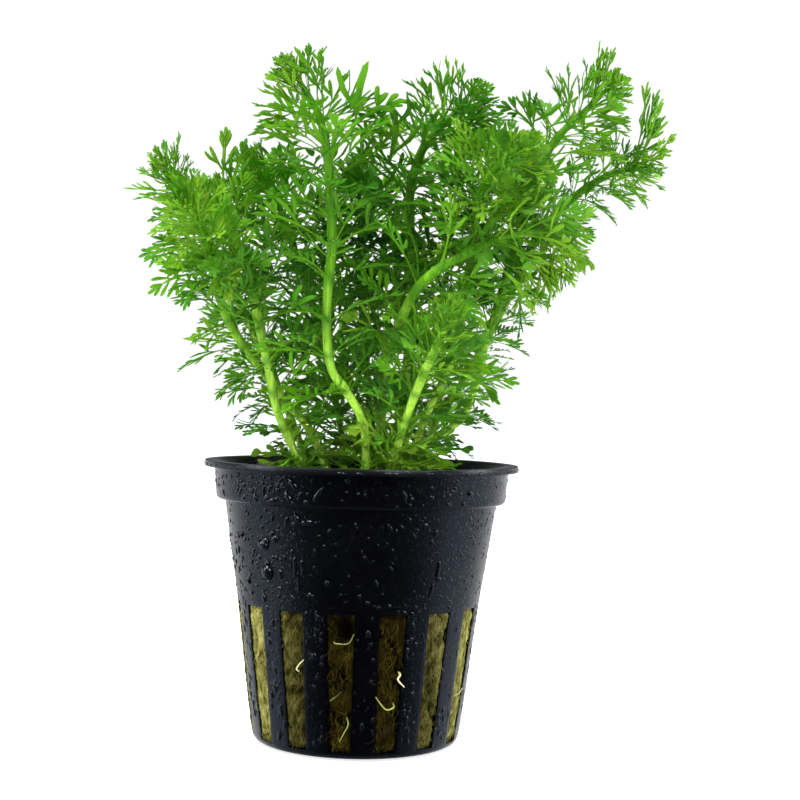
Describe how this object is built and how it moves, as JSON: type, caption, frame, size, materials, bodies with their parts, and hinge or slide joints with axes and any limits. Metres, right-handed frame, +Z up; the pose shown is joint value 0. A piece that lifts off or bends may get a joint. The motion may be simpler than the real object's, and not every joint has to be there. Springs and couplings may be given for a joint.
{
  "type": "potted aquarium plant",
  "caption": "Bushy dwarf ambulia with whorls of finely cut green leaves on upright stems, rooted in mineral wool in a slotted black net pot.",
  "frame": {"origin": "centre of the pot's underside", "axes": "+Z up along the pot's axis, -Y towards the viewer, +X to the viewer's right"},
  "size_m": [0.1029, 0.0667, 0.1237],
  "materials": {
    "pot_plastic": "satin",
    "mineral_wool": "matte",
    "stem": "satin",
    "leaf": "satin",
    "root": "satin"
  },
  "bodies": {
    "root": {"net_pot": "pot_plastic", "wool_plug": "mineral_wool", "stem_front_centre": "stem", "stem_left": "stem", "stem_left_behind": "stem", "stem_back_left": "stem", "stem_right": "stem", "stem_top_middle": "stem", "stem_front_right": "stem", "stem_middle_right": "stem", "stem_right_behind": "stem", "stem_far_right": "stem", "stem_back_left_centre": "stem", "stem_back_centre": "stem", "stem_back_right": "stem", "leaves_front_centre": "leaf", "leaves_left": "leaf", "leaves_left_behind": "leaf", "leaves_back_left": "leaf", "leaves_right": "leaf", "leaves_top_middle": "leaf", "leaves_front_right": "leaf", "leaves_middle_right": "leaf", "leaves_right_behind": "leaf", "leaves_far_right": "leaf", "leaves_back_left_centre": "leaf", "leaves_back_centre": "leaf", "leaves_back_right": "leaf", "root_left": "root", "root_slot_left": "root", "root_hook": "root", "root_rib": "root", "root_long": "root", "root_low": "root", "root_right": "root"}
  },
  "joints": []
}
